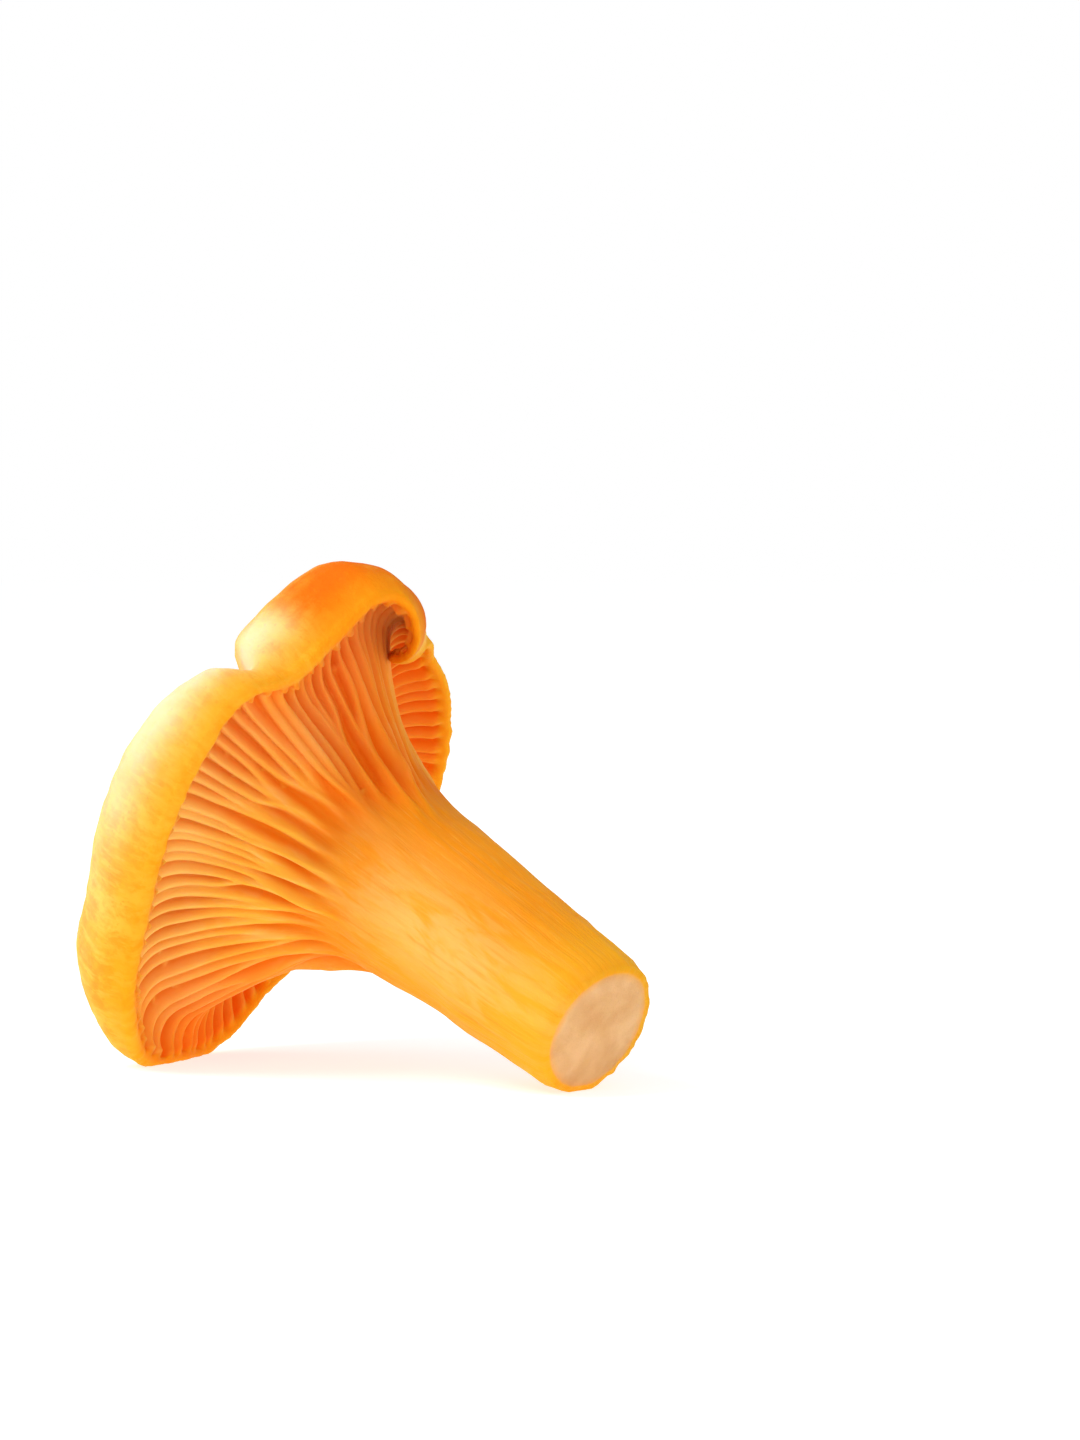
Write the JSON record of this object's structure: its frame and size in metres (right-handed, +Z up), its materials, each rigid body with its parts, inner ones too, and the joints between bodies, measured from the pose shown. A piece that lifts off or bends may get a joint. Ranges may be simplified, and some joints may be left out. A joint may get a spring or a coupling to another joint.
{
  "type": "chanterelle mushroom",
  "caption": "Fresh-cut chanterelle lying on its cap rim and cut stem, with a wavy funnel cap, a curled margin and forked false gills running down the stem.",
  "frame": {"origin": "on the floor, below the middle of the bounding box", "axes": "+Z up; -Y is the side the picture is taken from; +X is to the right in the picture, where the cut end of the stem lies"},
  "size_m": [0.0592, 0.0584, 0.0531],
  "materials": {
    "flesh": null
  },
  "bodies": {
    "root": {"chanterelle": "flesh"}
  },
  "joints": []
}
